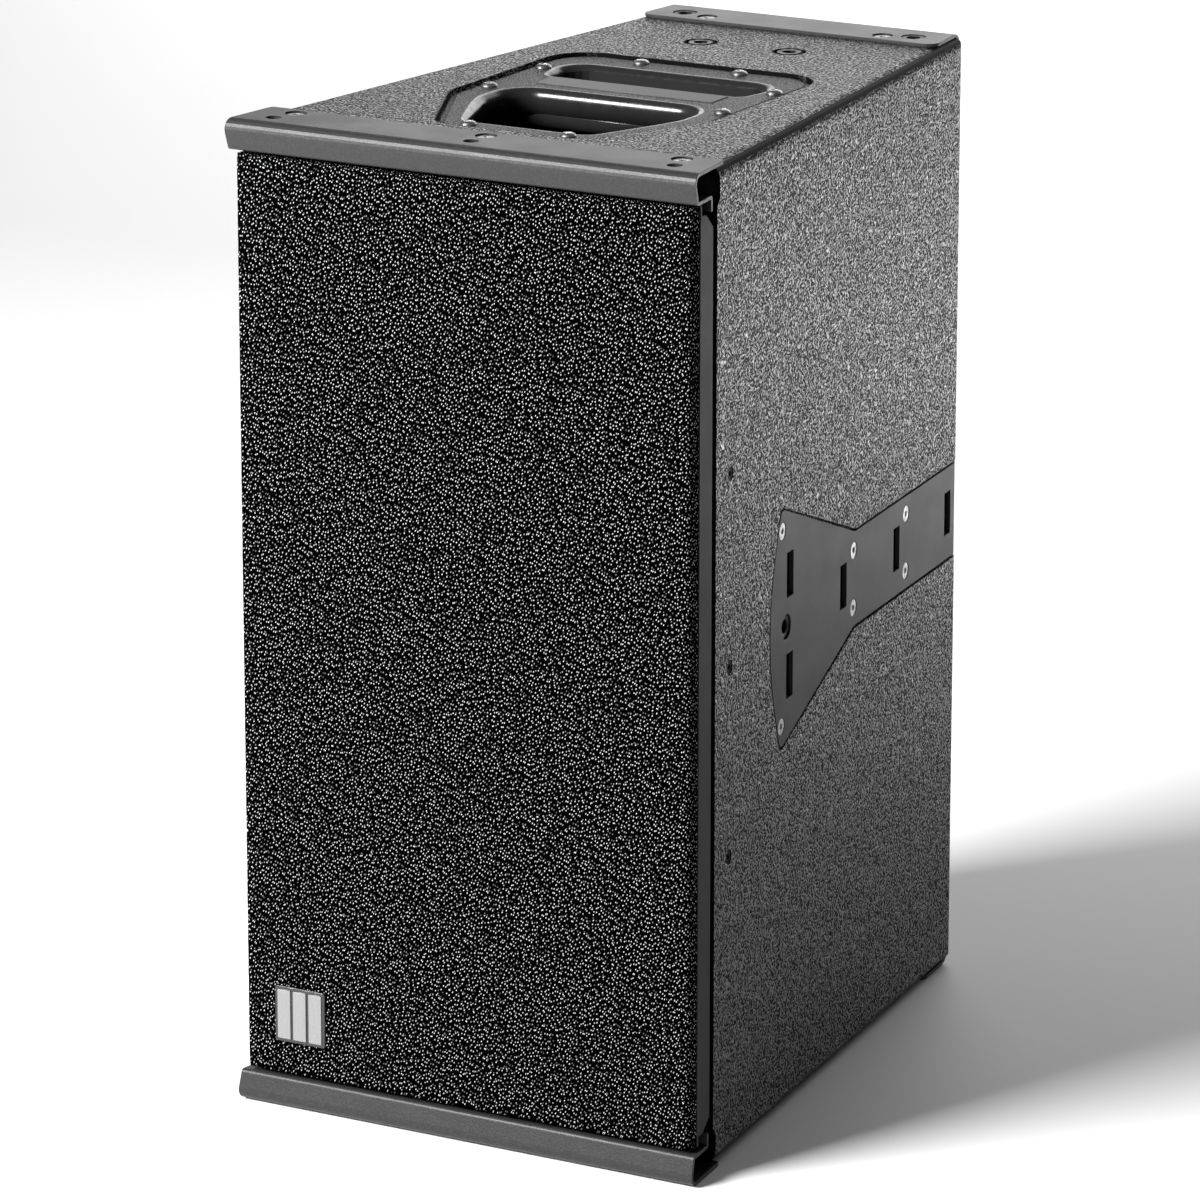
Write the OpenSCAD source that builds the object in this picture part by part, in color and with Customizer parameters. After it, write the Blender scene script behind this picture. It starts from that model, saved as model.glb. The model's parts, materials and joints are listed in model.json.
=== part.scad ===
// Vertical two-way loudspeaker cabinet of the line array family.
// Origin: centre of the footprint on the floor. X across, Y front to rear, Z up.

/* [Cabinet] */
// Overall height over the steel rails
cab_h = 580; // [570:2:600]
// Width across the front
cab_w = 300; // [298:1:306]
// Overall depth, front rail to rear strips
cab_d = 428; // [426:1:440]
// Taper of each side towards the rear, in degrees
side_taper = 7; // [6:0.5:7.5]
// Thickness of the plywood panels
panel_t = 18; // [17:0.5:18]
// Rounding of the outer plywood edges
edge_r = 8; // [5:1:9]
// Depth of the baffle's front face behind the front rail
baffle_front = 46; // [45:0.5:47]
// Thickness of the baffle
baffle_t = 15; // [13:1:16]

/* [Steelwork] */
// Sheet thickness of the rails and strips
sheet_t = 2; // [1.5:0.5:2]
// Height of the front rails' faces
rail_face_h = 18; // [17:0.5:19]
// Backward lean of the rail faces, in degrees
rail_lean = 16; // [12:1:18]
// How far the front rails reach back over the panels
rail_reach = 42; // [40:1:44]
// How far the rear strips reach forward over the panels
strip_reach = 44; // [40:1:46]
// How far the rear strips fold down behind the cabinet
strip_drop = 14; // [12:1:30]
// Distance of the rear strips' ends from the sides
strip_inset = 3.5; // [1:0.5:6]
// Thickness of the rigging plates
plate_t = 3; // [2.5:0.5:3]
// Half height of the rigging band
band_half = 28.4; // [27:0.2:30]

/* [Grille] */
// Gap between the foam's face and the rail's nose
foam_set_back = 3; // [2:0.5:4]
// Thickness of the acoustic foam
foam_t = 10; // [8:0.5:10]
// Thickness of the perforated sheet
grille_t = 1.5; // [1.2:0.1:1.5]
// Across-flats size of the perforations
perforation = 16; // [12:1:17]
// Spacing of the perforations
perforation_pitch = 20; // [19:1:22]

/* [Drive units] */
// Distance of each cone driver's axis above and below the middle
driver_offset = 147; // [146:0.5:148]
// Outer radius of a driver's flange
driver_r = 122; // [120:0.5:122]
// Radius of the loose cone and of the surround's inner edge
cone_r = 94; // [92:1:96]
// Mouth of the horn, wide side
mouth_w = 132; // [120:2:134]
// Mouth of the horn, narrow side
mouth_h = 84; // [76:2:86]

/* [Handles] */
// Depth of the hand space below the panel's outer face
cup_depth = 66; // [58:1:68]
// Half width of the hand space
cup_half = 66; // [62:1:66]
// Wall of the moulded cup
cup_wall = 3; // [2:0.5:3]

/* [Hidden] */
$fn = 48;
front_y = -cab_d / 2;
mid_z = cab_h / 2;
box_top = cab_h - sheet_t;
box_rear = cab_d - sheet_t;
panel_front = 25.5;
side_front = 32;
corner_front = 36;
arc_steps = 6;
far = 600;
gap = 0.3;

// Screw and insert places, as [across, depth]
rail_screws_at = [for (x = [-123.5, 0, 123.5]) [x, 33]];
grille_screws_at = [for (x = [-128, 0, 128]) [x, 16.8]];
strip_screws_at = [for (x = [-59, 59]) [x, cab_d - 33]];
strip_inserts_at = [for (x = [-77, 77]) [x, cab_d - 28]];
end_inserts_at = [for (x = [-29.5, 29.5]) [x, 333]];
handle_screws_at = [for (s = [-1, 1]) each [[s * 32, 68], [s * 76, 166], [s * 76, 228], [s * 32.5, 266.5]]];

// Rigging places on a side, as [depth, height from the middle]
side_slots_at = [[146.7, 29.8], [146.7, -29.8], [232.3, 0], [320.2, 0], [407.9, 0]];
side_screws_at = [for (s = [-1, 1]) each [[134.6, s * 57.5], [249.1, s * 17.3], [336.4, s * 17.5]]];
side_insert_at = [141, 0];
edge_screws_at = [for (h = [-111, 0, 111]) [baffle_front + baffle_t / 2, h]];
rear_screws_at = [for (x = [-62, 62], h = [-17.5, 17.5]) [x, h]];
head_drop = 0.8;

// Countersunk screws of the steelwork: head, shank and length in sheet and in plate
sunk_head = 9.8;
sheet_shank = 4.5;
sheet_screw_l = 14;
plate_shank = 4;
plate_screw_l = 15;
plate_down = 0.3;
plate_sink = plate_down + 0.3;
plate_gap = 1.6;

// Countersunk screws through the panels' edges into the baffle
edge_head = 8;
edge_shank = 4;
edge_screw_l = 40;
edge_sink = 0.5;

// Button-head screws: of the handles, the drivers, the horn's ring, the sockets and the grille
handle_head = 9.5;
handle_shank = 4;
handle_screw_l = 15;
driver_head = 9;
driver_screw_l = 18;
driver_screw_r = 116;
connector_head = 6;
connector_screw_l = 12;
connector_sink = 1.8;
slot_w = 10.5;
slot_l = 26.5;
pocket_depth = 14;
insert_bore = 8.5;
insert_flange = 14.5;
insert_l = 14;

// Connector panel on the rear
connector_z = 150;
connector_w = 112;
connector_h = 84;
socket_x = 25;

// Horn, as depths behind the front rail's nose
horn_flange_r = 92;
horn_flange_front = 19.3;
carrier_front = 23;
carrier_t = 3;
carrier_r = 104;
clamp_front = 17;
throat_r = 21.5;
throat_rear = 80;
post_at = [92, 34];
clamp_screw_r = 98.5;

// ---------------------------------------------------------------- helpers

function at(depth) = front_y + depth;
function half_w(depth) = cab_w / 2 - depth * tan(side_taper);
function inner_half(depth) = half_w(depth) - panel_t / cos(side_taper);
function unit(v) = v / norm(v);

// The arc that rounds the corner v between a and b
function corner_arc(a, v, b, r, n) = r <= 0 ? [v] :
    let (ua = unit(a - v), ub = unit(b - v), half = acos(ua * ub) / 2,
        c = v + unit(ua + ub) * r / sin(half),
        from = v + ua * r / tan(half) - c,
        to = v + ub * r / tan(half) - c,
        start = atan2(from[1], from[0]),
        sweep = (atan2(to[1], to[0]) - start + 540) % 360 - 180)
    [for (i = [0:n]) c + r * [cos(start + sweep * i / n), sin(start + sweep * i / n)]];

// Outline p with each corner rounded to its own radius
function rounded(p, r, n = arc_steps) = let (m = len(p))
    [for (i = [0:m - 1]) each corner_arc(p[(i + m - 1) % m], p[i], p[(i + 1) % m], r[i], n)];

function mirrored(half) = concat(half, [for (i = [len(half) - 1:-1:0]) [-half[i][0], half[i][1]]]);
function twice(r) = concat(r, [for (i = [len(r) - 1:-1:0]) r[i]]);
function to_plan(p) = [for (q = p) [q[0], at(q[1])]];
function box_outline(w, h) = [[-w / 2, -h / 2], [w / 2, -h / 2], [w / 2, h / 2], [-w / 2, h / 2]];

module upside_down() translate([0, 0, cab_h]) mirror([0, 0, 1]) children();
module both_ends() { children(); upside_down() children(); }
module left() mirror([1, 0, 0]) children();
module both_sides() { children(); left() children(); }

// Outward is local +Z at a place on the top, the right side, the rear or a front-facing surface
module on_top(p, z = box_top) translate([p[0], at(p[1]), z]) children();
module on_side(p) translate([half_w(p[0]), at(p[0]), mid_z + p[1]])
    rotate([0, 0, side_taper]) rotate([90, 0, 90]) children();
module on_rear(x, z) translate([x, at(box_rear), z]) rotate([90, 0, 180]) children();
module on_front(x, depth, z) translate([x, at(depth), z]) rotate([90, 0, 0]) children();

// A profile of [radius, depth] turned about a front-to-rear axis at height z
module turned(z, points) translate([0, front_y, z]) rotate([-90, 0, 0])
    rotate_extrude($fn = 96) polygon(points);

// A profile of [depth, height] extruded across, w wide
module across(w, points) translate([-w / 2, 0, 0]) rotate([90, 0, 90]) linear_extrude(w)
    polygon(to_depth(points));
function to_depth(p) = [for (q = p) [at(q[0]), q[1]]];

// A plan outline of [across, depth] between two heights
module plan(z0, z1, points) translate([0, 0, z0]) linear_extrude(z1 - z0) polygon(to_plan(points));

// Screw with its head's top face at z = 0 and its shank downwards
module sunk_screw(head_d, shank_d, length, key = 4) difference() {
    rotate_extrude($fn = 32) polygon([[0, -length], [shank_d / 2, -length], [shank_d / 2, -head_d * 0.28],
        [head_d / 2, -0.5], [head_d / 2, 0], [0, 0]]);
    translate([0, 0, -1.6]) cylinder(h = 3, d = key, $fn = 6);
}
module button_screw(head_d, shank_d, length, key = 4) difference() {
    rotate_extrude($fn = 32) polygon([[0, -length], [shank_d / 2, -length], [shank_d / 2, 0],
        [head_d / 2, 0], [head_d / 2, 0.6], [head_d * 0.42, 1.5], [head_d * 0.28, 2.1], [0, 2.2]]);
    translate([0, 0, 0.9]) cylinder(h = 3, d = key, $fn = 6);
}
// Cutter that seats a sunk screw with a little room all round
module sunk_seat(head_d, shank_d, length) rotate_extrude($fn = 32) polygon([[0, -length],
    [shank_d / 2 + 0.1, -length], [shank_d / 2 + 0.1, -head_d * 0.28 - 0.1], [head_d / 2 + 0.15, -0.6],
    [head_d / 2 + 0.15, 5], [0, 5]]);
module edge_seat() translate([0, 0, -edge_sink]) sunk_seat(edge_head, edge_shank, edge_screw_l + 2);
module screw_hole(d, length) translate([0, 0, -length]) cylinder(h = length + 5, d = d);

// ---------------------------------------------------------------- plywood box

// The plywood box as a solid, all its outer edges rounded, shrunk by inset
module body_block(inset = 0, front = panel_front) {
    r = max(edge_r - inset, 1);
    z0 = sheet_t + inset;
    z1 = box_top - inset;
    rear = box_rear - inset;
    slope = inset / cos(side_taper);
    normal_reach = (cab_w / 2) * cos(side_taper) + front_y * sin(side_taper) - inset;
    intersection() {
        plan(z0 - 1, z1 + 1, rounded([[-half_w(front) + slope, front], [half_w(front) - slope, front],
            [half_w(rear) - slope, rear], [-half_w(rear) + slope, rear]], [0, 0, r, r]));
        side_prism(normal_reach, z0, z1, r);
        left() side_prism(normal_reach, z0, z1, r);
        across(far, rounded([[-20, z0], [rear, z0], [rear, z1], [-20, z1]], [0, r, r, 0]));
    }
}
module side_prism(reach, z0, z1, r) rotate([0, 0, side_taper]) rotate([90, 0, 0])
    linear_extrude(2 * far, center = true)
    polygon(rounded([[-far, z0], [reach, z0], [reach, z1], [-far, z1]], [0, r, r, 0]));

module handle_seat(grow = 0) {
    half = [[49 + grow, 58 - grow], [86 + grow, 138], [86 + grow, 276 + grow]];
    plan(box_top - 4.5, box_top + 5, rounded(mirrored(half), twice([14, 30, 26])));
}
module end_panel() difference() {
    intersection() {
        body_block();
        translate([-far / 2, -far / 2, box_top - panel_t]) cube([far, far, panel_t + 5]);
    }
    // Corners cut back beside the rail's open ends
    both_sides() translate([half_w(corner_front) - 22, at(panel_front) - 1, box_top - panel_t - 1])
        cube([60, corner_front - panel_front + 1, panel_t + 9]);
    handle_seat();
    cup_space(cup_wall + gap, box_top + 10);
    for (p = concat(rail_screws_at, strip_screws_at)) on_top(p, cab_h - head_drop)
        sunk_seat(sunk_head, sheet_shank, sheet_screw_l + 1);
    for (p = handle_screws_at) on_top(p) screw_hole(handle_shank + 0.1, handle_screw_l + 2);
    for (p = strip_inserts_at) on_top(p) screw_hole(insert_flange - 2, insert_l + 1);
    for (p = end_inserts_at) on_top(p) {
        screw_hole(insert_flange - 2, insert_l + 3);
        translate([0, 0, -1.5]) cylinder(h = 5, d = 20);
    }
}
module top_panel() color("#3a3a3c") end_panel();
module bottom_panel() color("#3a3a3c") upside_down() end_panel();

function plate_points(grow) = let (half = [[132.5 - grow, 71 + grow], [250 + grow / 2, band_half + grow],
        [far, band_half + grow]],
    outline = concat([[108.5 - grow, 0]], half, [for (i = [2:-1:0]) [half[i][0], -half[i][1]]]))
    rounded([for (q = outline) [q[0], mid_z + q[1]]], [140, 5, 12, 0, 0, 12, 5]);

// The rigging plate's recess on the right side and round the rear corner
return_w = 24;
module plate_recess(grow) difference() {
    translate([half_w(cab_d) - return_w - grow, 0, 0]) rotate([90, 0, 90]) linear_extrude(200)
        polygon(to_depth(plate_points(grow)));
    body_block(plate_t, front = 50);
}

module side_slots(w, l, deep) for (p = side_slots_at) on_side(p)
    translate([-w / 2, -l / 2, -deep]) cube([w, l, deep + 5]);

module side_panel() difference() {
    intersection() {
        body_block(front = side_front);
        translate([0, -far / 2, sheet_t + panel_t]) cube([far, far, cab_h - 2 * (sheet_t + panel_t)]);
    }
    // Everything inside the inner face
    rotate([0, 0, side_taper]) translate([-far, -far, -5])
        cube([far + cab_w / 2 * cos(side_taper) + front_y * sin(side_taper) - panel_t, 2 * far, far + 50]);
    both_ends() translate([half_w(side_front), at(side_front), sheet_t + panel_t]) rotate([0, 90, 0])
        rotate([0, 0, 45]) cube([6, 6, 3 * panel_t], center = true);
    plate_recess(plate_gap);
    side_slots(slot_w + 3, slot_l + 3, pocket_depth);
    for (p = side_screws_at) on_side(p) translate([0, 0, -plate_sink])
        sunk_seat(sunk_head, plate_shank, plate_screw_l + 1);
    for (p = edge_screws_at) on_side(p) edge_seat();
    on_side(side_insert_at) screw_hole(insert_flange - 2, insert_l + 2.5);
}
module right_side_panel() color("#343436") side_panel();
module left_side_panel() color("#343436") left() side_panel();

module rear_panel() color("#343436") difference() {
    plan(sheet_t + panel_t, box_top - panel_t, [[-inner_half(box_rear - panel_t), box_rear - panel_t],
        [inner_half(box_rear - panel_t), box_rear - panel_t],
        [inner_half(box_rear), box_rear], [-inner_half(box_rear), box_rear]]);
    on_rear(0, mid_z) translate([-far / 2, -band_half - plate_gap, -plate_t])
        cube([far, 2 * (band_half + plate_gap), 9]);
    for (p = rear_screws_at) on_rear(p[0], mid_z + p[1]) translate([0, 0, -plate_sink])
        sunk_seat(sunk_head, plate_shank, plate_screw_l + 1);
    on_rear(0, mid_z) screw_hole(insert_flange - 2, insert_l + 2.5);
    on_rear(0, connector_z) {
        translate([0, 0, -plate_t]) linear_extrude(9)
            polygon(rounded(box_outline(connector_w + 0.6, connector_h + 0.6), [8, 8, 8, 8]));
        translate([0, 0, -panel_t - 1]) linear_extrude(30)
            polygon(rounded(box_outline(connector_w - 24, connector_h - 24), [8, 8, 8, 8]));
        for (x = [-1, 1], z = [-1, 1]) translate([x * (connector_w / 2 - 6), z * (connector_h / 2 - 6), 0])
            screw_hole(3.4, 15);
    }
}

module front_baffle() color("#2a2a2c") difference() {
    rear = baffle_front + baffle_t;
    plan(sheet_t + panel_t, box_top - panel_t, [[-inner_half(baffle_front), baffle_front],
        [inner_half(baffle_front), baffle_front], [inner_half(rear), rear], [-inner_half(rear), rear]]);
    for (s = [-1, 1]) {
        turned(mid_z + s * driver_offset, [[0, baffle_front - 1], [109, baffle_front - 1], [109, rear + 1],
            [0, rear + 1]]);
        for (i = [0:7]) on_front(0, baffle_front, mid_z + s * driver_offset) rotate([0, 0, 22.5 + 45 * i])
            translate([driver_screw_r, 0, 0]) screw_hole(4.1, 14);
    }
    turned(mid_z, [[0, baffle_front - 1], [throat_r + 1.5, baffle_front - 1], [throat_r + 1.5, rear + 1],
        [0, rear + 1]]);
    ports() cylinder(h = 100, r = port_r + 2, center = true);
    for (x = [-1, 1], z = [-1, 1]) on_front(x * post_at[0], baffle_front, mid_z + z * post_at[1])
        screw_hole(4.1, 14);
    both_sides() for (p = edge_screws_at) on_side(p) edge_seat();
}
port_r = 15;
port_at = [104, 244];
module ports() for (x = [-1, 1], z = [-1, 1])
    on_front(x * port_at[0], baffle_front, mid_z + z * port_at[1]) children();
module port_tubes() color("#1c1c1e") ports() rotate_extrude() polygon([[port_r, -38], [port_r + 1.9, -38],
    [port_r + 1.9, 0], [port_r + 4.5, 0], [port_r + 4.5, 1.5], [port_r, 1.5]]);

module center_brace() color("#c8a878") difference() {
    plan(mid_z - 7.5, mid_z + 7.5, [[-inner_half(166), 166], [inner_half(166), 166],
        [inner_half(box_rear - panel_t), box_rear - panel_t],
        [-inner_half(box_rear - panel_t), box_rear - panel_t]]);
    for (t = [222, 308]) on_top([0, t], mid_z) cylinder(h = 40, r = 36, center = true);
    on_top([-62, 372], mid_z) cylinder(h = 40, r = 8, center = true);
}

module damping_mat() color("#8c8c86") both_sides() for (h = [-1, 1]) difference() {
    on_side([270, h * 115]) translate([-100, -90, -panel_t - 14]) cube([200, 180, 13.5]);
    // Room for the moulded cups and the rear panel
    both_ends() cup_space(cup_wall + 1, box_top);
}

// ---------------------------------------------------------------- front rails and rear strips

module rail_profile() {
    run = tan(rail_lean);
    nose = 6 / tan((90 - rail_lean) / 2) - 6;
    face = cab_h - rail_face_h;
    skin = sheet_t / cos(rail_lean);
    across(cab_w + 20, rounded([
        [rail_reach, cab_h], [-nose, cab_h], [rail_face_h * run - nose, face], [23, face], [23, face - 7],
        [23 + sheet_t, face - 7], [23 + sheet_t, face + sheet_t],
        [(rail_face_h - sheet_t) * run - nose + skin, face + sheet_t],
        [sheet_t * run - nose + skin, cab_h - sheet_t], [rail_reach, cab_h - sheet_t]],
        [0, 6, 2.5, 0.5, 0, 0, 2.5, 0.5, 4, 0]));
}
module front_rail() difference() {
    intersection() {
        rail_profile();
        plan(0, cab_h + 5, rounded([[-half_w(-5), -5], [half_w(-5), -5],
            [half_w(rail_reach), rail_reach], [-half_w(rail_reach), rail_reach]], [0, 0, 3, 3]));
    }
    for (p = rail_screws_at) sheet_seat(p);
    for (p = grille_screws_at) on_top(p, cab_h) cylinder(h = 8, d = 9, center = true);
    for (p = grille_screws_at) on_top(p, cab_h - rail_face_h) cylinder(h = 9, d = 4.4, center = true);
}
// A countersunk screw's seat in the sheet, in a wider shallow recess
module sheet_seat(p) {
    on_top(p, cab_h - head_drop) sunk_seat(sunk_head, sheet_shank, sheet_screw_l + 1);
    on_top(p, cab_h - head_drop - 0.5) cylinder(h = 5, d = 12.4);
}
module front_top_rail() color("#2c2c2e") front_rail();
module front_bottom_rail() color("#2c2c2e") upside_down() front_rail();

module rear_strip() difference() {
    skin_r = edge_r + sheet_t;
    intersection() {
        across(cab_w, rounded([[cab_d - strip_reach, cab_h], [cab_d, cab_h], [cab_d, cab_h - strip_drop],
            [cab_d - sheet_t, cab_h - strip_drop], [cab_d - sheet_t, cab_h - sheet_t],
            [cab_d - strip_reach, cab_h - sheet_t]], [0, skin_r, 0, 0, edge_r, 0]));
        plan(0, cab_h + 5, rounded([[-half_w(cab_d - strip_reach) + strip_inset, cab_d - strip_reach],
            [half_w(cab_d - strip_reach) - strip_inset, cab_d - strip_reach],
            [half_w(cab_d + 5) - strip_inset, cab_d + 5],
            [-half_w(cab_d + 5) + strip_inset, cab_d + 5]], [7, 7, 0, 0]));
    }
    for (p = strip_screws_at) sheet_seat(p);
    for (p = strip_inserts_at) on_top(p, cab_h) cylinder(h = 8, d = 15, center = true);
}
module rear_top_strip() color("#3a3a3c") rear_strip();
module rear_bottom_strip() color("#3a3a3c") upside_down() rear_strip();

module rail_screws() color("#b8b8b6") both_ends() for (p = rail_screws_at)
    on_top(p, cab_h - head_drop) sunk_screw(sunk_head, sheet_shank, sheet_screw_l);
module strip_screws() color("#b8b8b6") both_ends() for (p = strip_screws_at)
    on_top(p, cab_h - head_drop) sunk_screw(sunk_head, sheet_shank, sheet_screw_l);

// ---------------------------------------------------------------- grille

foam_half = 145.5;
foam_edge = 2;
module grille_foam() color("#141416") difference() {
    on_front(0, foam_set_back + foam_t, mid_z) linear_extrude(foam_t)
        polygon(rounded(box_outline(2 * foam_half, cab_h - 2 * rail_face_h - 2 * foam_edge), [3, 3, 3, 3]));
    badge_block(0.2);
}

grille_front = foam_set_back + foam_t;
grille_half = 146.2;
grille_z0 = rail_face_h + foam_edge;
flange_z0 = grille_z0 + 6;
flange_rear = grille_front + 14;
flange_cut = 8;
module grille_panel() color("#3c3c40") {
    on_front(0, grille_front + grille_t, mid_z) linear_extrude(grille_t) difference() {
        polygon(box_outline(2 * grille_half, cab_h - 2 * grille_z0));
        for (i = [-6:6], j = [-13:13 - abs(i % 2)])
            translate([i * perforation_pitch, (j + abs(i % 2) / 2) * perforation_pitch * 0.96])
                circle(d = perforation, $fn = 6);
    }
    // Side flanges folded back, their rear corners cut off
    both_sides() translate([grille_half - grille_t, 0, 0]) rotate([90, 0, 90]) linear_extrude(grille_t)
        polygon(to_depth([[grille_front, flange_z0], [flange_rear - flange_cut, flange_z0],
            [flange_rear, flange_z0 + flange_cut], [flange_rear, cab_h - flange_z0 - flange_cut],
            [flange_rear - flange_cut, cab_h - flange_z0], [grille_front, cab_h - flange_z0]]));
    // End flanges under the rails' lips
    both_ends() difference() {
        translate([-grille_half + 4, at(grille_front), grille_z0]) cube([2 * grille_half - 8, 9.5, grille_t]);
        for (p = grille_screws_at) on_top(p, grille_z0) cylinder(h = 9, d = 4.2, center = true);
    }
}
module grille_screws() color("#b8b8b6") both_ends() for (p = grille_screws_at)
    on_top(p, cab_h - rail_face_h + sheet_t) button_screw(7.5, 4, 6.5, 2.5);

badge_size = 33.5;
badge_t = 2.4;
module badge_block(grow = 0) on_front(badge_size / 2 - foam_half + 19.7,
    foam_set_back + badge_t / 2 + grow, rail_face_h + 22 + badge_size / 2) linear_extrude(badge_t + grow)
    polygon(rounded(box_outline(badge_size + 2 * grow, badge_size + 2 * grow), [1.5, 1.5, 1.5, 1.5]));
module badge() color("#c9cbcc") badge_block();

// ---------------------------------------------------------------- handles

front_open = [[40, 77], [62, 138], [62, 172]];
rear_open = [[64, 210], [66, 244]];
bar_front = 172;
bar_rear = 210;

// The hand space, widened by grow, from the cup's floor to height z1
module cup_space(grow, z1) {
    floor_z = box_top - cup_depth - grow;
    intersection() {
        plan(floor_z, z1, rounded(mirrored([[42 + grow, 77 - grow], [cup_half + grow, 138],
            [cup_half + grow, 244 + grow]]), twice([10, 30, 16])));
        across(far, [[78 - grow, z1], [78 - grow, box_top - 5], [136 - grow, floor_z], [232 + grow, floor_z],
            [246 + grow, box_top - 5], [246 + grow, z1]]);
    }
}
plate_top = box_top - 1.5;
plate_bottom = plate_top - 3;
module handle_frame() {
    difference() {
        plan(plate_bottom, plate_top,
            rounded(mirrored([[48, 59], [85, 138], [85, 275]]), twice([14, 30, 26])));
        plan(plate_bottom - 1, plate_top + 1, rounded(mirrored(front_open), twice([10, 30, 18])));
        plan(plate_bottom - 1, plate_top + 1, rounded(mirrored(rear_open), twice([6, 14])));
        for (p = handle_screws_at) on_top(p, plate_top) screw_hole(handle_shank + 0.4, 20);
        // Seat of the label
        plan(plate_top - 0.6, plate_top + 1, mirrored([[58, 187], [58, 207]]));
    }
    // Grip bar under the plate
    difference() {
        across(2 * cup_half, rounded([[bar_front, plate_bottom + 0.01], [bar_front, plate_top - 24],
            [bar_rear, plate_top - 24], [bar_rear, plate_bottom + 0.01]], [0, 9, 9, 0]));
        across(2 * cup_half - 12, rounded([[bar_front + 4, plate_bottom + 1], [bar_front + 4, plate_top - 20],
            [bar_rear - 4, plate_top - 20], [bar_rear - 4, plate_bottom + 1]], [0, 6, 6, 0]));
    }
}
module handle_cup() difference() {
    cup_space(cup_wall, plate_bottom);
    cup_space(0, box_top + 5);
}
module top_handle_frame() color("#303032") handle_frame();
module bottom_handle_frame() color("#303032") upside_down() handle_frame();
module top_handle_cup() color("#202022") handle_cup();
module bottom_handle_cup() color("#202022") upside_down() handle_cup();
module handle_labels() color("#55575a") both_ends()
    plan(plate_top - 0.6, plate_top - 0.1, mirrored([[57.8, 187.2], [57.8, 206.8]]));
module handle_screws() color("#b8b8b6") both_ends() for (p = handle_screws_at)
    on_top(p, plate_top) button_screw(handle_head, handle_shank, handle_screw_l, 4);

// ---------------------------------------------------------------- rigging

module rigging_plate() difference() {
    intersection() {
        plate_recess(0);
        body_block(plate_down, front = 60);
    }
    side_slots(slot_w, slot_l, 12);
    for (p = side_screws_at) on_side(p) translate([0, 0, -plate_sink]) sunk_seat(sunk_head, plate_shank, 9);
    on_side(side_insert_at) screw_hole(insert_flange + 0.4, 9);
}
module right_rigging_plate() color("#38383a") rigging_plate();
module left_rigging_plate() color("#38383a") left() rigging_plate();
module rear_strap() color("#38383a") difference() {
    half = half_w(cab_d) - return_w - gap;
    on_rear(0, mid_z) translate([-half, -band_half, -plate_t])
        cube([2 * half, 2 * band_half, plate_t - plate_down]);
    for (p = rear_screws_at) on_rear(p[0], mid_z + p[1]) translate([0, 0, -plate_sink])
        sunk_seat(sunk_head, plate_shank, 9);
    on_rear(0, mid_z) screw_hole(insert_flange + 0.4, 9);
}
module rigging_screws() color("#c4c4c2") {
    both_sides() for (p = side_screws_at) on_side(p) plate_screw();
    for (p = rear_screws_at) on_rear(p[0], mid_z + p[1]) plate_screw();
}
module plate_screw() translate([0, 0, -plate_sink]) sunk_screw(sunk_head, plate_shank, plate_screw_l);
module side_edge_screws() color("#a8a8a6") both_sides() for (p = edge_screws_at)
    on_side(p) translate([0, 0, -edge_sink]) sunk_screw(edge_head, edge_shank, edge_screw_l, 3.5);

// Flanged sleeve, its top face at z = 0, tapped right through
module insert_sleeve() rotate_extrude() polygon([[insert_bore / 2, -insert_l],
    [insert_flange / 2 - 1.1, -insert_l], [insert_flange / 2 - 1.1, -1.5], [insert_flange / 2, -1.5],
    [insert_flange / 2, 0], [insert_bore / 2, 0]]);
module threaded_inserts() color("#8e8e8c") {
    both_sides() on_side(side_insert_at) translate([0, 0, -1.5]) insert_sleeve();
    both_ends() for (p = end_inserts_at) on_top(p) insert_sleeve();
    both_ends() for (p = strip_inserts_at) on_top(p) translate([0, 0, 1.5]) insert_sleeve();
    on_rear(0, mid_z) translate([0, 0, -1.5]) insert_sleeve();
}

// ---------------------------------------------------------------- connectors and crossover

module connector_plate() color("#333335") difference() {
    on_rear(0, connector_z) translate([0, 0, -plate_t]) linear_extrude(plate_t)
        polygon(rounded(box_outline(connector_w, connector_h), [8, 8, 8, 8]));
    for (x = [-1, 1]) on_rear(x * socket_x, connector_z) screw_hole(28, 9);
    for (x = [-1, 1], z = [-1, 1])
        on_rear(x * (connector_w / 2 - 6), connector_z + z * (connector_h / 2 - 6)) {
            screw_hole(3.6, 9);
            translate([0, 0, -connector_sink]) cylinder(h = 9, d = connector_head + 0.6);
        }
}
module speaker_sockets() color("#1b1b1d") for (x = [-1, 1]) on_rear(x * socket_x, connector_z)
    translate([0, 0, -0.4]) rotate_extrude() polygon([[0, -34], [13.8, -34], [13.8, 0], [11.5, 0],
        [11.5, -22], [5.5, -22], [5.5, -3], [0, -3]]);
module connector_screws() color("#b8b8b6") for (x = [-1, 1], z = [-1, 1])
    on_rear(x * (connector_w / 2 - 6), connector_z + z * (connector_h / 2 - 6))
    translate([0, 0, -connector_sink]) button_screw(connector_head, 3.2, connector_screw_l, 2.5);

board_z = 420;
board_t = 390;
module crossover_board() color("#1f5a34") {
    on_front(0, board_t, board_z) linear_extrude(2) polygon(box_outline(120, 150));
    for (x = [-54, 54], z = [-69, 69]) on_front(x, box_rear - panel_t, board_z + z)
        cylinder(h = box_rear - panel_t - board_t, r = 4);
}
module crossover_coils() color("#b5713a") for (p = [[-30, 42, 24], [30, 42, 20], [0, -6, 18]])
    on_front(p[0], board_t - 2, board_z + p[1]) rotate_extrude()
    polygon([[8, 0.2], [p[2], 0.2], [p[2], 22], [8, 22]]);
module crossover_capacitors() color("#30406a")
    for (p = [[-38, -46, 9], [-12, -50, 9], [14, -46, 7], [38, -46, 11]])
    on_front(p[0], board_t - 2, board_z + p[1]) translate([0, 0, 0.2]) cylinder(h = 32, r = p[2]);

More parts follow.
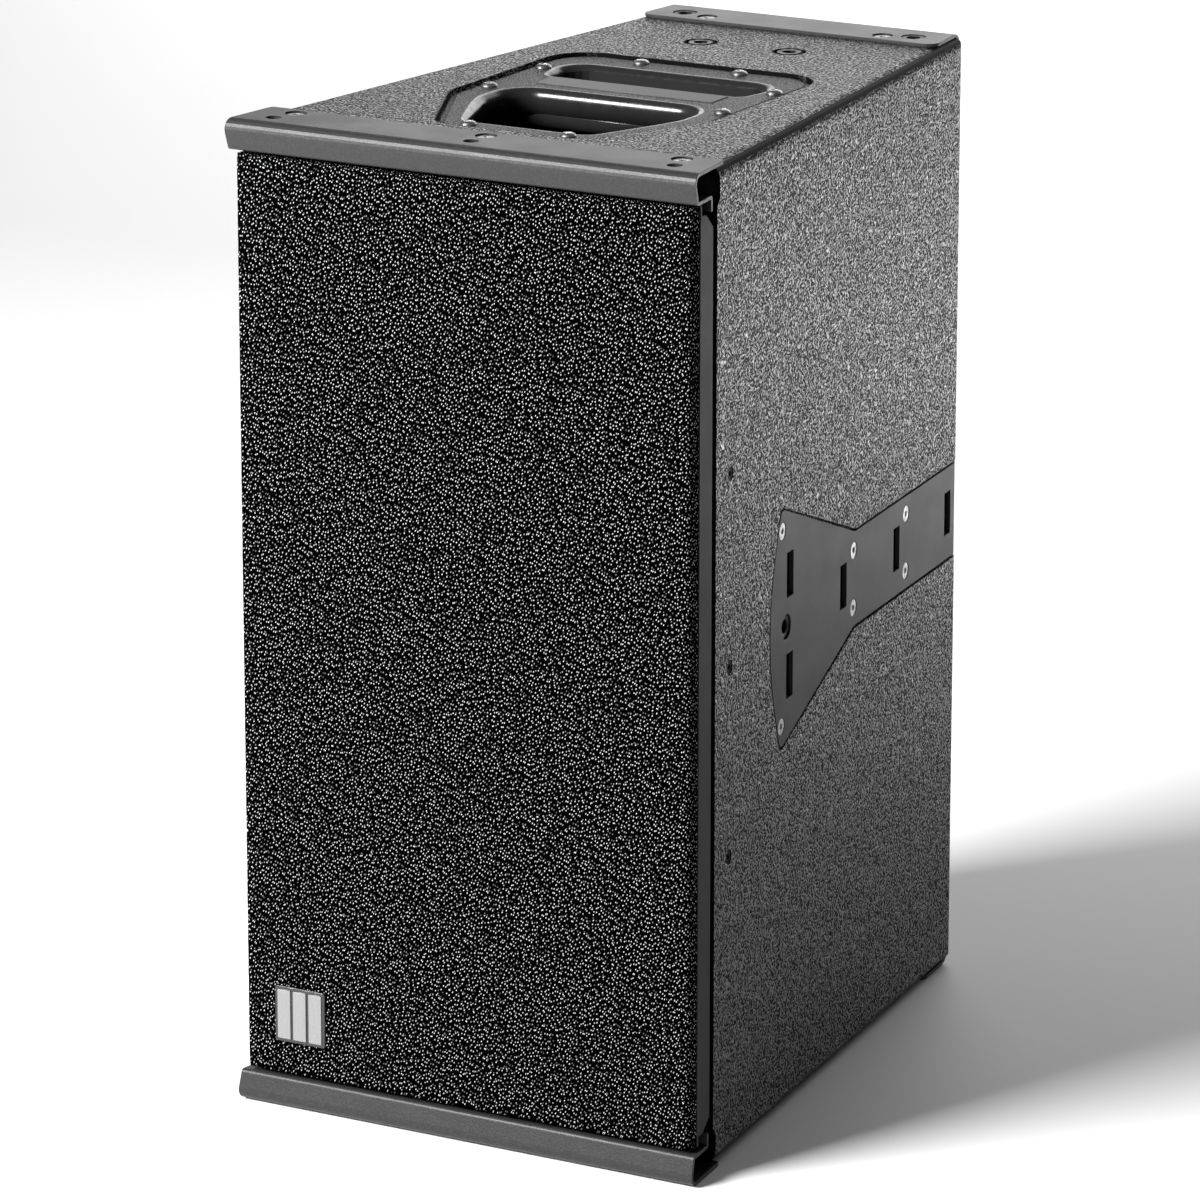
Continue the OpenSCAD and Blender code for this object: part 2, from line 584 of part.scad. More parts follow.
// Leads as straight runs with a ball at each bend
module lead(path, r = 3) {
    for (i = [0:len(path) - 2]) {
        run = path[i + 1] - path[i];
        translate(path[i]) rotate([0, acos(run[2] / norm(run)), atan2(run[1], run[0])])
            cylinder(h = norm(run), r = r, $fn = 16);
    }
    for (i = [1:len(path) - 2]) translate(path[i]) sphere(r = r * 1.2, $fn = 16);
}
module internal_wiring() color("#7a2020") {
    lead([[-62, at(396), 352], [-62, at(396), 344], [-62, at(372), 330], [-62, at(372), 230],
        [-25, at(388), 190], [-25, at(388), connector_z]]);
    lead([[0, at(383), 344], [0, at(330), 330], [0, at(180), 320], [0, at(152), mid_z],
        [0, at(throat_rear + 56.5), mid_z]]);
}

// ---------------------------------------------------------------- cone drivers

// Depths are measured from the baffle's front face
function driver_profile(p) = [for (q = p) [q[0], baffle_front + q[1]]];
module basket(z) color("#26262a") difference() {
    turned(z, driver_profile([[111, -5], [driver_r, -5], [driver_r, -0.1], [108.5, -0.1], [108.5, 2], [71, 43],
        [66, 52], [66, 56], [30, 56], [30, 53], [62.5, 53], [67.5, 43.5], [58.3, 43.5], [58.3, 40], [68.8, 40],
        [104.5, 1], [104.5, -2], [111, -2]]));
    // Six windows in the cone of the basket
    for (i = [0:5]) translate([0, front_y, z]) rotate([0, 60 * i, 0])
        translate([-22, baffle_front + 9, 0]) cube([44, 28, 260]);
    for (i = [0:7]) on_front(0, baffle_front, z) rotate([0, 0, 22.5 + 45 * i]) translate([driver_screw_r, 0, 0])
        cylinder(h = 20, d = 5, center = true);
}
module magnet(z) color("#4a4a4e") union() {
    turned(z, driver_profile([[29, 56.2], [52, 56.2], [52, 63], [56, 63], [56, 82], [52, 82], [52, 90], [9, 90],
        [9, 60], [25.4, 60], [25.4, 82], [33, 82], [33, 63], [29, 63]]));
}
function arc_points(c, r, a0, a1, n) = [for (i = [0:n]) c + r * [cos(a0 + (a1 - a0) * i / n),
    sin(a0 + (a1 - a0) * i / n)]];
module surround(z) color("#1a1a1a") turned(z, driver_profile(concat([[cone_r - 4, -3]],
    arc_points([cone_r + 6, -2], 6, 189.6, 350.4, 12), [[cone_r + 16, -3], [cone_r + 16, -2]],
    arc_points([cone_r + 6, -2], 5, 360, 180, 12), [[cone_r - 4, -2]])));
module cone(z) color("#222226") turned(z, driver_profile([[cone_r, -2], [cone_r, -0.8], [cone_r - 3, -0.8],
    [27.2, 32], [27.2, 30.5], [cone_r - 4, -2]]));
module dust_cap(z) color("#1e1e20") turned(z, driver_profile(concat(arc_points([0, 50.5], 37, 270, 324, 10),
    arc_points([0, 50.5], 36, 324, 270, 10))));
module voice_coil(z) color("#b07a3c") turned(z, driver_profile([[26.2, 32.3], [27.1, 32.3],
    [27.1, 53], [28.2, 53], [28.2, 68], [26.2, 68]]));
module spider(z) color("#c9a24b") turned(z, driver_profile([[27.4, 42], [34, 43.6], [40, 42], [46, 43.6],
    [52, 42], [58, 39], [63, 39], [63, 39.8], [58, 39.8], [52, 42.8], [46, 44.4], [40, 42.8], [34, 44.4],
    [27.4, 42.8]]));

upper_z = mid_z + driver_offset;
lower_z = mid_z - driver_offset;
module upper_basket() basket(upper_z);
module lower_basket() basket(lower_z);
module upper_magnet() magnet(upper_z);
module lower_magnet() magnet(lower_z);
module upper_surround() surround(upper_z);
module lower_surround() surround(lower_z);
module upper_cone() cone(upper_z);
module lower_cone() cone(lower_z);
module upper_dust_cap() dust_cap(upper_z);
module lower_dust_cap() dust_cap(lower_z);
module upper_voice_coil() voice_coil(upper_z);
module lower_voice_coil() voice_coil(lower_z);
module upper_spider() spider(upper_z);
module lower_spider() spider(lower_z);
module woofer_screws() color("#a8a8a6") for (z = [lower_z, upper_z], i = [0:7])
    on_front(0, baffle_front - 5, z) rotate([0, 0, 22.5 + 45 * i]) translate([driver_screw_r, 0, 0])
    button_screw(driver_head, 4, driver_screw_l, 3.5);

// ---------------------------------------------------------------- horn

module horn_carrier() color("#2e2e32") {
    difference() {
        turned(mid_z, [[82, carrier_front], [carrier_r, carrier_front], [carrier_r, carrier_front + carrier_t],
            [82, carrier_front + carrier_t]]);
        clamp_places() screw_hole(3.3, 12);
    }
    // Posts, each with a stud into the baffle
    for (x = [-1, 1], z = [-1, 1]) on_front(x * post_at[0], baffle_front, mid_z + z * post_at[1]) {
        cylinder(h = baffle_front - carrier_front - carrier_t, r = 5.5);
        translate([0, 0, -12]) cylinder(h = 13, d = 4);
    }
}
module clamp_places() for (i = [0:5]) on_front(0, clamp_front, mid_z) rotate([0, 0, 60 * i + 30])
    translate([clamp_screw_r, 0, 0]) children();
module horn_clamp_ring() color("#2e2e32") difference() {
    turned(mid_z, [[87, clamp_front], [carrier_r, clamp_front], [carrier_r, carrier_front - 0.02],
        [horn_flange_r + 0.5, carrier_front - 0.02], [horn_flange_r + 0.5, clamp_front + 2],
        [87, clamp_front + 2]]);
    clamp_places() {
        screw_hole(4.2, 15);
        translate([0, 0, -2]) cylinder(h = 4, d = 7.5);
    }
}
module clamp_screws() color("#a8a8a6") clamp_places() translate([0, 0, -2]) button_screw(6.8, 3.2, 8, 2.5);

module slab(w, h, r, depth, t = 0.2) on_front(0, depth + t, mid_z) linear_extrude(t)
    polygon(rounded(box_outline(w, h), [r, r, r, r]));
module flare(grow) {
    hull() {
        slab(mouth_w + grow, mouth_h + grow, 10, horn_flange_front - (grow > 0 ? 0 : 0.3));
        slab(70 + grow, 54 + grow, 14, 30);
    }
    hull() {
        slab(70 + grow, 54 + grow, 14, 30);
        slab(36 + grow, 34 + grow, 15, 41);
    }
}
module hf_horn() color("#29292d") difference() {
    union() {
        turned(mid_z, [[0, horn_flange_front], [horn_flange_r, horn_flange_front],
            [horn_flange_r, carrier_front - 0.2], [0, carrier_front - 0.2]]);
        flare(5);
        turned(mid_z, [[0, 40], [throat_r, 40], [throat_r, throat_rear - 4], [32, throat_rear - 4],
            [32, throat_rear], [0, throat_rear]]);
    }
    flare(0);
    turned(mid_z, [[0, 41], [16.9, 41], [12.7, throat_rear + 1], [0, throat_rear + 1]]);
}
module compression_driver() color("#55555a") difference() {
    turned(mid_z, [[12.7, throat_rear], [36, throat_rear], [36, throat_rear + 6], [45, throat_rear + 6],
        [45, throat_rear + 40], [40, throat_rear + 44], [18, throat_rear + 44], [18, throat_rear + 10],
        [12.7, throat_rear + 6]]);
    for (i = [0:3]) on_front(0, throat_rear, mid_z) rotate([0, 0, 45 + 90 * i]) translate([28, 0, 0])
        cylinder(h = 20, d = 4.2, center = true);
}
module driver_cap() color("#222225") turned(mid_z, [[0, throat_rear + 44.1], [38, throat_rear + 44.1],
    [38, throat_rear + 48], [30, throat_rear + 54], [4, throat_rear + 56], [0, throat_rear + 56]]);

top_panel();
bottom_panel();
left_side_panel();
right_side_panel();
rear_panel();
front_baffle();
center_brace();
damping_mat();
port_tubes();
front_top_rail();
front_bottom_rail();
rear_top_strip();
rear_bottom_strip();
rail_screws();
strip_screws();
grille_panel();
grille_foam();
grille_screws();
badge();
top_handle_frame();
bottom_handle_frame();
top_handle_cup();
bottom_handle_cup();
handle_labels();
handle_screws();
left_rigging_plate();
right_rigging_plate();
rear_strap();
rigging_screws();
threaded_inserts();
side_edge_screws();
connector_plate();
speaker_sockets();
connector_screws();
crossover_board();
crossover_coils();
crossover_capacitors();
internal_wiring();
upper_basket();
upper_magnet();
upper_surround();
upper_cone();
upper_dust_cap();
upper_voice_coil();
upper_spider();
lower_basket();
lower_magnet();
lower_surround();
lower_cone();
lower_dust_cap();
lower_voice_coil();
lower_spider();
woofer_screws();
horn_carrier();
horn_clamp_ring();
clamp_screws();
hf_horn();
compression_driver();
driver_cap();
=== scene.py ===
"""Looks of the loudspeaker cabinet: camera, materials, handles, badge, foam, seals, floor and light."""

import json
import math

import bmesh
import bpy
import numpy as np
from mathutils import Matrix, Vector
from mathutils.geometry import tessellate_polygon


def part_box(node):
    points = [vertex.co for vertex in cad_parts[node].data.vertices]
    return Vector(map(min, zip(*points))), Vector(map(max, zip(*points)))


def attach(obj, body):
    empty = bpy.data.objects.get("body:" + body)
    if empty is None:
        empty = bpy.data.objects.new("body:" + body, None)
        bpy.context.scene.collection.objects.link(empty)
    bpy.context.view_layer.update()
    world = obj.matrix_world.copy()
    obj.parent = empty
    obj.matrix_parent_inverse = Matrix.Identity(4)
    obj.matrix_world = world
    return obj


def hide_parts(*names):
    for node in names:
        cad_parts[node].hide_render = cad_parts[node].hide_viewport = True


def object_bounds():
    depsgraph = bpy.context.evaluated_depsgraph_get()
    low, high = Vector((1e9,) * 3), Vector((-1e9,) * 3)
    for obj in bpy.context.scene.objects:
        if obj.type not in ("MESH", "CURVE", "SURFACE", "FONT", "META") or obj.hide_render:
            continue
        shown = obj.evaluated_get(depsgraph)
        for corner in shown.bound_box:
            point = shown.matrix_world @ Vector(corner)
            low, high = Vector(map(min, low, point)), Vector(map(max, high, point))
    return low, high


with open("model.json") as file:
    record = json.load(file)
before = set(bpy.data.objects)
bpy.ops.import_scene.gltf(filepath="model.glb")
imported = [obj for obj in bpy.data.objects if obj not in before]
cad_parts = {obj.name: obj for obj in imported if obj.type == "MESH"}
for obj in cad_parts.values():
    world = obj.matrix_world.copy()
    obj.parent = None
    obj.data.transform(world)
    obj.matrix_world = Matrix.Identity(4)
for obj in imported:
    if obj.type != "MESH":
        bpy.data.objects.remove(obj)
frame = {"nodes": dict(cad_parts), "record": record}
cad_low, cad_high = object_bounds()
MM = 0.001

# ---------------------------------------------------------------- camera

VIEW_AZIMUTH = math.radians(29.55)
VIEW_ELEVATION = math.radians(15.74)
VIEW_DISTANCE = 4.092
VIEW_LENS = 210.0
AIM_RIGHT, AIM_UP = -0.0264, -0.0198


def place_camera():
    """The camera looks at the middle of the cabinet from the front right and above."""
    data = bpy.data.cameras.new("view_camera")
    data.lens = VIEW_LENS
    data.clip_start, data.clip_end = 0.1, 100.0
    camera = bpy.data.objects.new("view_camera", data)
    bpy.context.scene.collection.objects.link(camera)
    back = Vector((
        math.sin(VIEW_AZIMUTH) * math.cos(VIEW_ELEVATION),
        -math.cos(VIEW_AZIMUTH) * math.cos(VIEW_ELEVATION),
        math.sin(VIEW_ELEVATION),
    ))
    turn = back.to_track_quat("Z", "Y")
    aim = (cad_low + cad_high) / 2 + turn @ Vector((AIM_RIGHT, AIM_UP, 0))
    camera.rotation_mode = "QUATERNION"
    camera.rotation_quaternion = turn
    camera.location = aim + back * VIEW_DISTANCE
    bpy.context.scene.camera = camera


place_camera()

# ---------------------------------------------------------------- materials


class Finish:
    """A Principled material, with the few node patterns that the finishes share."""

    def __init__(self, name, **sockets):
        self.material = bpy.data.materials.new(name)
        self.material.use_nodes = True
        self.tree = self.material.node_tree
        self.surface = self.tree.nodes["Principled BSDF"]
        for key, value in sockets.items():
            self.surface.inputs[key.replace("_", " ")].default_value = value
        coordinates = self.add("ShaderNodeTexCoord")
        self.place, self.facing = coordinates.outputs["Object"], coordinates.outputs["Normal"]

    def add(self, kind, **settings):
        node = self.tree.nodes.new(kind)
        for key, value in settings.items():
            setattr(node, key, value)
        return node

    def join(self, value, socket):
        if isinstance(value, bpy.types.NodeSocket):
            self.tree.links.new(value, socket)
        else:
            socket.default_value = value

    def stretched(self, factors):
        node = self.add("ShaderNodeMapping")
        self.join(self.place, node.inputs["Vector"])
        node.inputs["Scale"].default_value = factors
        return node.outputs["Vector"]

    def noise(self, size, detail=2.0, rough=0.5, place=None, distort=0.0):
        """Smooth noise from 0 to 1, with features about size metres across."""
        node = self.add("ShaderNodeTexNoise")
        self.join(place or self.place, node.inputs["Vector"])
        node.inputs["Scale"].default_value = 1 / size
        node.inputs["Detail"].default_value = detail
        node.inputs["Roughness"].default_value = rough
        node.inputs["Distortion"].default_value = distort
        return node.outputs["Fac"]

    def split(self, vector):
        node = self.add("ShaderNodeSeparateXYZ")
        self.join(vector, node.inputs[0])
        return node.outputs

    def cells(self, size, place, output="Distance"):
        """Voronoi cells about size metres across, in the first two coordinates of place."""
        node = self.add("ShaderNodeTexVoronoi", voronoi_dimensions="2D")
        self.join(place, node.inputs["Vector"])
        node.inputs["Scale"].default_value = 1 / size
        node.inputs["Randomness"].default_value = 0.8
        return node.outputs[output]

    def combine(self, first, second, operation="MULTIPLY"):
        node = self.add("ShaderNodeMath", operation=operation)
        self.join(first, node.inputs[0])
        self.join(second, node.inputs[1])
        return node.outputs[0]

    def spread(self, value, low, high, to_low=0.0, to_high=1.0):
        """value's stretch from low to high, eased into to_low to to_high."""
        node = self.add("ShaderNodeMapRange", interpolation_type="SMOOTHSTEP")
        self.join(value, node.inputs["Value"])
        for key, number in zip(("From Min", "From Max", "To Min", "To Max"), (low, high, to_low, to_high)):
            node.inputs[key].default_value = number
        return node.outputs["Result"]

    def blend(self, factor, first, second):
        """The colour first where factor is 0, and second where it is 1."""
        node = self.add("ShaderNodeMix", data_type="RGBA")
        for number, value in ((0, factor), (6, first), (7, second)):
            self.join(value, node.inputs[number])
        return node.outputs[2]

    def squareness(self):
        """1 on a face square to an axis, less on a rounded or slanting one."""
        sizes = [self.combine(part, 0.0, "ABSOLUTE") for part in self.split(self.facing)]
        return self.combine(self.combine(sizes[0], sizes[1], "MAXIMUM"), sizes[2], "MAXIMUM")

    def off_edges(self, radius):
        """0 on sharp edges, rising to 1 at radius away from them."""
        rounded_off = self.add("ShaderNodeBevel", samples=4)
        rounded_off.inputs["Radius"].default_value = radius
        alike = self.add("ShaderNodeVectorMath", operation="DOT_PRODUCT")
        self.join(rounded_off.outputs["Normal"], alike.inputs[0])
        self.join(self.add("ShaderNodeNewGeometry").outputs["Normal"], alike.inputs[1])
        return self.spread(alike.outputs["Value"], 0.85, 0.99)

    def color(self, value):
        self.join(value, self.surface.inputs["Base Color"])

    def rough(self, value):
        self.join(value, self.surface.inputs["Roughness"])

    def gloss(self, value):
        self.join(value, self.surface.inputs["Specular IOR Level"])

    def bump(self, height, depth):
        """Raises the surface by up to depth metres where height is 1."""
        node = self.add("ShaderNodeBump")
        self.join(height, node.inputs["Height"])
        node.inputs["Distance"].default_value = depth
        before = self.surface.inputs["Normal"]
        if before.is_linked:
            self.join(before.links[0].from_socket, node.inputs["Normal"])
        self.join(node.outputs["Normal"], before)

    def soft_edges(self, radius):
        """Rounds sharp edges in the shading."""
        node = self.add("ShaderNodeBevel", samples=4)
        node.inputs["Radius"].default_value = radius
        self.join(node.outputs["Normal"], self.surface.inputs["Normal"])


def grey(value):
    return (value, value, value, 1.0)


FOAM_CELL = 2.15 * MM
FOAM_LEAN = math.radians(25)
FOAM_DRAWN = 1.25
PAINT_GRAIN = 1.4 * MM
PAINT_CLUMP = 3.4 * PAINT_GRAIN
PAINT_DRAWN = 0.75
PAINT_RELIEF = 1.0 * MM
PAINT_SMOOTH_EDGE_AND_SHADE = 2.6 * MM


def textured_paint():
    """Impact-resistant paint: glossy grains over dull gaps, smooth on rounded edges and forward faces. Its
    colour holds painted shade: darker in the gaps, and near-black on rounded edges, along sharp edges of
    level faces and on forward faces.
    """
    f = Finish("textured_paint", IOR=1.75)
    f.soft_edges(0.8 * MM)
    depth, up = f.split(f.facing)[1:]
    upright = f.spread(f.combine(up, 0.0, "ABSOLUTE"), 0.9, 0.99, 1.0, 0.0)
    # Where flat falls to 0 (rounded edges, forward faces and the band along sharp edges of level faces) the
    # paint is smooth, and near-black and dull as painted shade.
    flat = f.combine(f.spread(f.squareness(), 0.86, 0.98), f.spread(depth, -0.99, -0.9))
    flat = f.combine(flat, f.combine(f.off_edges(PAINT_SMOOTH_EDGE_AND_SHADE), upright, "MAXIMUM"))
    drawn = f.stretched((1, PAINT_DRAWN, 1))
    grains = f.spread(f.noise(PAINT_GRAIN, detail=1.0, place=drawn), 0.38, 0.64)
    clumps = f.spread(f.noise(PAINT_CLUMP, detail=1.0), 0.3, 0.7, 0.6, 1.0)
    height = f.combine(f.combine(grains, clumps), flat)
    # Painted shade: the colour is darker in the gaps between grains than on their tops.
    f.color(f.blend(height, grey(0.003), grey(0.03)))
    f.gloss(f.spread(height, 0.08, 0.78, 0.02, 0.9))
    f.rough(f.spread(height, 0.0, 0.8, 0.43, 0.27))
    f.bump(height, PAINT_RELIEF)
    return f.material


def powder_coat(name, shade, rough, peel=0.05, gloss=0.5):
    """Satin powder coat on steel, with a fine orange peel whose hollows are painted darker and tops
    lighter, as shade and light.
    """
    f = Finish(name, Roughness=rough, Specular_IOR_Level=gloss)
    f.soft_edges(0.5 * MM)
    peel_relief_and_shade = f.noise(1.3 * MM, detail=2.0)
    peel_shade_contrast = min(1.2 * peel, 0.4)
    # Painted shade and highlight: the colour is darker in the peel's hollows and lighter on its tops.
    dark, light = grey(shade * (1 - peel_shade_contrast)), grey(shade * (1 + peel_shade_contrast))
    f.color(f.blend(f.spread(peel_relief_and_shade, 0.35, 0.65), dark, light))
    cloud = f.noise(25 * MM, detail=3.0)
    f.rough(f.spread(cloud, 0.3, 0.7, rough - 0.02, rough + 0.02))
    f.bump(peel_relief_and_shade, peel * MM)
    return f.material


def plated(name, shade, rough=0.3, tint=(1.0, 1.0, 1.0)):
    """Bright plated steel with fine turning marks and light tarnish."""
    f = Finish(name, Metallic=1.0, Roughness=rough)
    f.soft_edges(0.25 * MM)
    tarnish = f.noise(3 * MM, detail=4.0)
    dark = tuple(shade * 0.55 * c for c in tint) + (1.0,)
    light = tuple(shade * c for c in tint) + (1.0,)
    f.color(f.blend(f.spread(tarnish, 0.35, 0.65), dark, light))
    f.rough(f.spread(tarnish, 0.3, 0.7, rough + 0.12, rough - 0.05))
    f.bump(f.noise(0.5 * MM, detail=2.0), 0.02 * MM)
    return f.material


def satin_plate():
    """Light satin lacquer with fine vertical brushing."""
    f = Finish("badge_satin", Roughness=0.4)
    brushing = f.noise(0.4 * MM, detail=3.0, place=f.stretched((1.0, 1.0, 0.03)))
    f.color(f.blend(brushing, grey(0.17), grey(0.22)))
    f.bump(brushing, 0.01 * MM)
    return f.material


def moulded(name, shade, rough=0.42, grain=0.8, depth=0.05, gloss=0.5):
    """Moulded plastic with a fine spark-eroded grain."""
    f = Finish(name, Specular_IOR_Level=gloss)
    f.soft_edges(0.5 * MM)
    pits = f.noise(grain * MM, detail=3.0, rough=0.65)
    cloud = f.noise(30 * MM, detail=2.0)
    f.color(f.blend(cloud, grey(shade * 0.8), grey(shade * 1.3)))
    f.rough(f.spread(pits, 0.3, 0.7, rough + 0.06, rough - 0.06))
    f.bump(pits, depth * MM)
    return f.material


def grained_plastic():
    """Moulded plastic with a coarse leather grain, glossy on its tops, its colour darker in the grain's
    hollows as painted shade.
    """
    f = Finish("grained_plastic")
    f.soft_edges(0.4 * MM)
    grain = f.spread(f.noise(1.1 * MM, detail=2.0, rough=0.55), 0.35, 0.65)
    # Painted shade: the colour is darker in the grain's hollows.
    f.color(f.blend(grain, grey(0.004), grey(0.02)))
    f.gloss(f.spread(grain, 0.1, 0.9, 0.15, 0.7))
    f.rough(f.spread(grain, 0.1, 0.9, 0.5, 0.36))
    f.bump(grain, 0.4 * MM)
    return f.material


def open_foam():
    """Reticulated foam: glossy struts leaning over black cells, their bright specks painted into the colour
    as highlights.
    """
    f = Finish("open_foam", Roughness=0.4)
    across, depth, up = f.split(f.place)
    front = f.add("ShaderNodeCombineXYZ")
    f.join(f.combine(across, depth, "ADD"), front.inputs["X"])
    f.join(f.combine(up, depth, "ADD"), front.inputs["Y"])
    leaning = f.add("ShaderNodeMapping", vector_type="TEXTURE")
    f.join(front.outputs[0], leaning.inputs["Vector"])
    leaning.inputs["Rotation"].default_value = (0, 0, -FOAM_LEAN)
    leaning.inputs["Scale"].default_value = (1 / FOAM_DRAWN, FOAM_DRAWN, 1)
    strut = f.cells(FOAM_CELL, leaning.outputs["Vector"])
    luck = f.spread(f.cells(FOAM_CELL, leaning.outputs["Vector"], "Color"), 0.2, 0.8, 0.12, 1.0)
    painted_glint = f.combine(f.spread(strut, 0.03, 0.25, 1.0, 0.0), luck)
    # Painted highlight: the struts' bright specks are near-white colour over the black cells.
    f.color(f.blend(painted_glint, grey(0.0006), grey(0.8)))
    f.gloss(f.spread(painted_glint, 0.1, 0.5, 0.0, 0.5))
    f.bump(painted_glint, 0.4 * MM)
    return f.material


def plywood(name, dark, light):
    """Birch plywood: long grain with fine pores."""
    f = Finish(name, Roughness=0.55)
    along = f.stretched((1.0, 0.12, 0.12))
    grain = f.noise(9 * MM, detail=6.0, rough=0.65, place=along, distort=0.6)
    f.color(f.blend(f.spread(grain, 0.3, 0.7), dark, light))
    f.bump(grain, 0.15 * MM)
    return f.material


def cloth(name, dark, light, size=1.0):
    """Matt fibres in loose tufts."""
    f = Finish(name, Roughness=0.9)
    tufts = f.noise(size * MM, detail=5.0, rough=0.7)
    f.color(f.blend(f.spread(tufts, 0.3, 0.7), dark, light))
    f.bump(tufts, 0.6 * size * MM)
    return f.material


FINISHES = {
    "painted_plywood": textured_paint(),
    "powder_coated_steel": powder_coat("powder_coat", 0.024, 0.38, peel=0.12, gloss=0.24),
    "plate_steel": powder_coat("satin_plate", 0.014, 0.45, peel=0.04, gloss=0.23),
    "grille_steel": powder_coat("grille_coat", 0.008, 0.45, gloss=0.25),
    "zinc_screws": plated("zinc", 0.55),
    "insert_steel": plated("dark_zinc", 0.035, rough=0.4),
    "handle_plastic": grained_plastic(),
    "handle_lip": moulded("smooth_lip", 0.012, rough=0.24, grain=6.0, depth=0.03),
    "label_film": moulded("label_film", 0.05, rough=0.5, grain=0.5, depth=0.02),
    "acoustic_foam": open_foam(),
    "badge_metal": satin_plate(),
    "socket_plastic": moulded("socket_black", 0.012, rough=0.35),
    "port_plastic": moulded("port_black", 0.012),
    "horn_plastic": moulded("horn_black", 0.016, rough=0.38),
    "black_plywood": plywood("stained_plywood", grey(0.012), grey(0.035)),
    "bare_plywood": plywood("birch_plywood", (0.36, 0.24, 0.12, 1), (0.62, 0.46, 0.28, 1)),
    "damping_wool": cloth("wadding", grey(0.22), grey(0.45), size=4.0),
    "spider_cloth": cloth("woven_spider", (0.45, 0.28, 0.08, 1), (0.66, 0.46, 0.18, 1)),
    "paper_cone": cloth("coated_paper", grey(0.012), grey(0.03)),
    "surround_rubber": moulded("rubber_roll", 0.012, rough=0.5),
    "circuit_board": moulded("green_board", 0.03, rough=0.3),
    "copper_wire": plated("copper", 0.8, rough=0.35, tint=(0.95, 0.50, 0.30)),
    "coil_copper": plated("coil_copper", 0.8, rough=0.4, tint=(0.95, 0.50, 0.30)),
    "capacitor_film": moulded("capacitor_sleeve", 0.05, rough=0.25),
    "wire_insulation": moulded("lead_cover", 0.05, rough=0.45),
    "cast_aluminium": powder_coat("cast_coat", 0.025, 0.5, peel=0.12),
    "magnet_ferrite": powder_coat("ferrite", 0.06, 0.55, peel=0.1),
    "driver_metal": plated("satin_casting", 0.4, rough=0.45),
}
SHADED_CUP = moulded("shaded_cup", 0.004, rough=0.6, gloss=0.2)
# Nodes that look different from the rest of their slot
NODE_FINISHES = {
    "top_handle_cup": SHADED_CUP,
    "bottom_handle_cup": SHADED_CUP,
    # The side's edge screws are black paint and painted shade of their sunk cups: near-black and dull.
    "side_edge_screws": powder_coat("screw_black_paint_and_shade", 0.004, 0.4, gloss=0.04),
}
NODE_SLOTS = {row["node"]: row["material_slot"] for row in frame["record"]["subparts"]}


def dress_cad_nodes():
    for name, node in frame["nodes"].items():
        node.data.materials.clear()
        node.data.materials.append(NODE_FINISHES.get(name, FINISHES[NODE_SLOTS[name]]))


dress_cad_nodes()

# ---------------------------------------------------------------- meshes


def smooth_piece(name, mesh, finishes):
    """A smoothly shaded piece of the cabinet."""
    mesh.shade_smooth()
    for finish in finishes:
        mesh.materials.append(finish)
    piece = bpy.data.objects.new(name, mesh)
    bpy.context.scene.collection.objects.link(piece)
    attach(piece, "cabinet")
    return piece


class Shell:
    """A closed mesh put together from rings of points, bridges between them and flat caps."""

    def __init__(self, place):
        self.place = place
        self.vertices, self.faces, self.kinds = [], [], []

    def ring(self, outline, heights):
        """Adds the points of an outline, at one height or a list of heights, and returns their numbers."""
        if not isinstance(heights, list):
            heights = [heights] * len(outline)
        start = len(self.vertices)
        self.vertices += [self.place(*point, height) for point, height in zip(outline, heights)]
        return list(range(start, len(self.vertices)))

    def bridge(self, first, second, kind=0):
        for i in range(len(first)):
            j = (i + 1) % len(first)
            self.faces.append((first[i], first[j], second[j], second[i]))
            self.kinds.append(kind)

    def cap(self, outer, holes=(), kind=0):
        """Fills the flat between an outer ring and the rings of its holes."""
        rings = [outer, *holes]
        numbers = [v for ring in rings for v in ring]
        flat = [[Vector(self.vertices[v]) for v in ring] for ring in rings]
        for triangle in tessellate_polygon(flat):
            self.faces.append(tuple(numbers[k] for k in triangle))
            self.kinds.append(kind)

    def piece(self, name, finishes, slot):
        """The finished piece, its faces turned outwards."""
        mesh = bpy.data.meshes.new(name)
        mesh.from_pydata(self.vertices, [], self.faces)
        mesh.polygons.foreach_set("material_index", self.kinds)
        form = bmesh.new()
        form.from_mesh(mesh)
        bmesh.ops.recalc_face_normals(form, faces=form.faces)
        form.to_mesh(mesh)
        form.free()
        return smooth_piece(name, mesh, finishes)


ARC_STEPS = 8
QUARTER_STEPS = 6
SLAB_STEPS = 4
CAP_INSET = 0.4


def rounded(corners, radii, longest=6.0):
    """A closed outline with each corner rounded to its own radius, no straight run over longest."""
    outline = []
    count = len(corners)
    for i, radius in enumerate(radii):
        before, corner, after = (Vector(corners[(i + k) % count]) for k in (-1, 0, 1))
        to_before, to_after = (before - corner).normalized(), (after - corner).normalized()
        half = math.acos(max(-1.0, min(1.0, to_before.dot(to_after)))) / 2
        centre = corner + (to_before + to_after).normalized() * radius / math.sin(half)
        start = corner + to_before * radius / math.tan(half) - centre
        end = corner + to_after * radius / math.tan(half) - centre
        turn = start.angle_signed(end)
        for step in range(ARC_STEPS + 1):
            arm = start.copy()
            arm.rotate(Matrix.Rotation(-turn * step / ARC_STEPS, 2))
            outline.append(centre + arm)
    filled = []
    for here, following in zip(outline, outline[1:] + outline[:1]):
        parts = max(1, math.ceil((following - here).length / longest))
        filled += [here.lerp(following, k / parts) for k in range(parts)]
    return filled


def mirrored(half):
    return [*half, *[(-across, depth) for across, depth in reversed(half)]]


def twice(radii):
    return [*radii, *reversed(radii)]


